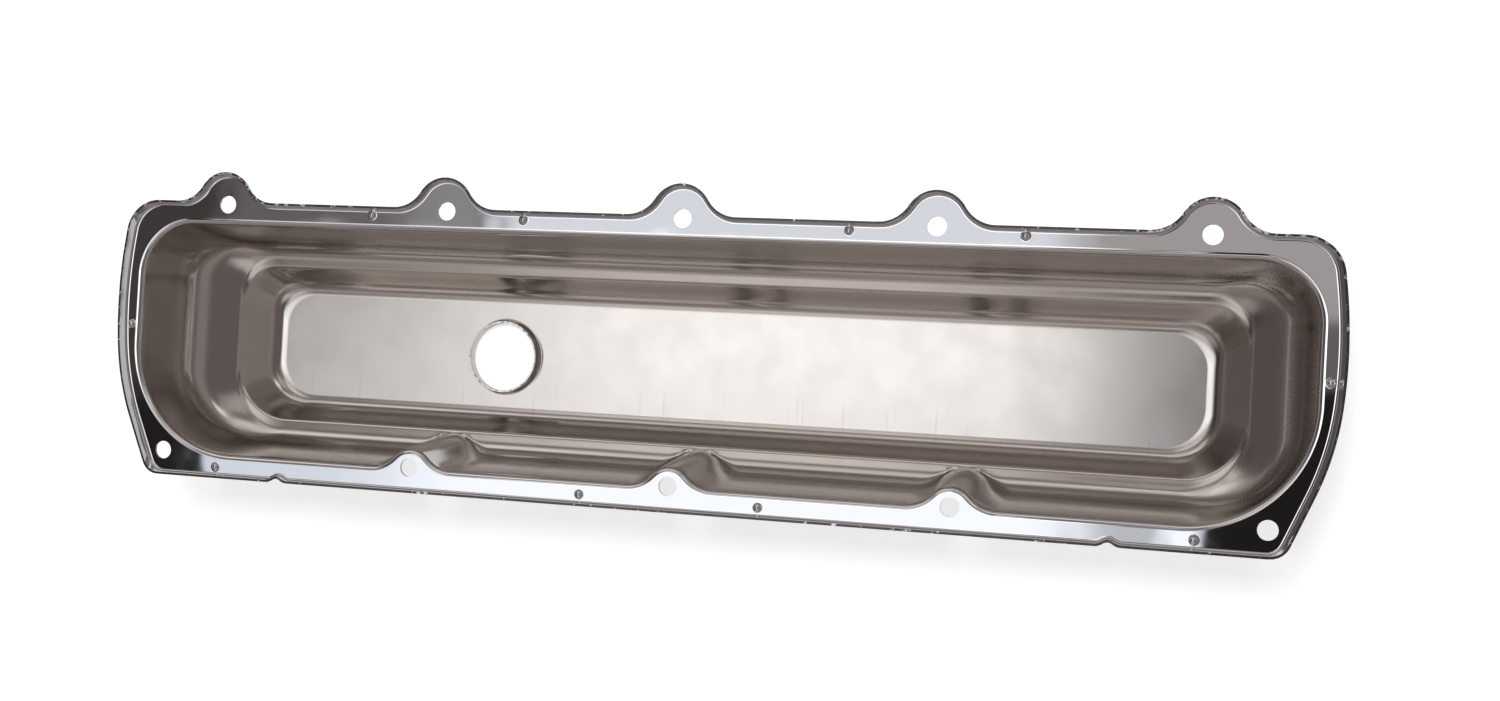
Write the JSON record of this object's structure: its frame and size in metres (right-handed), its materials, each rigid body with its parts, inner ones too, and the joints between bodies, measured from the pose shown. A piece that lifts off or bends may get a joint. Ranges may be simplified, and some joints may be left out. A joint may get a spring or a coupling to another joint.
{
  "type": "engine valve cover",
  "caption": "Long chromed pressed-steel engine valve cover with a stepped dome, bolt ears and pockets, a turned edge and a round filler hole, lying with its open underside up.",
  "frame": {"origin": "middle of the outline, on the level of the flat panel that the cover lies on", "axes": "+X along the cover, with the filler hole at -X; +Y towards the side with the ears; +Z out of the open side, square to the gasket face"},
  "size_m": [0.5284, 0.1366, 0.0635],
  "materials": {
    "chromed_sheet": "chrome plate on pressed steel, mirror bright on the flange and satin inside the dome"
  },
  "bodies": {
    "root": {"valve_cover": "chromed_sheet"}
  },
  "joints": []
}
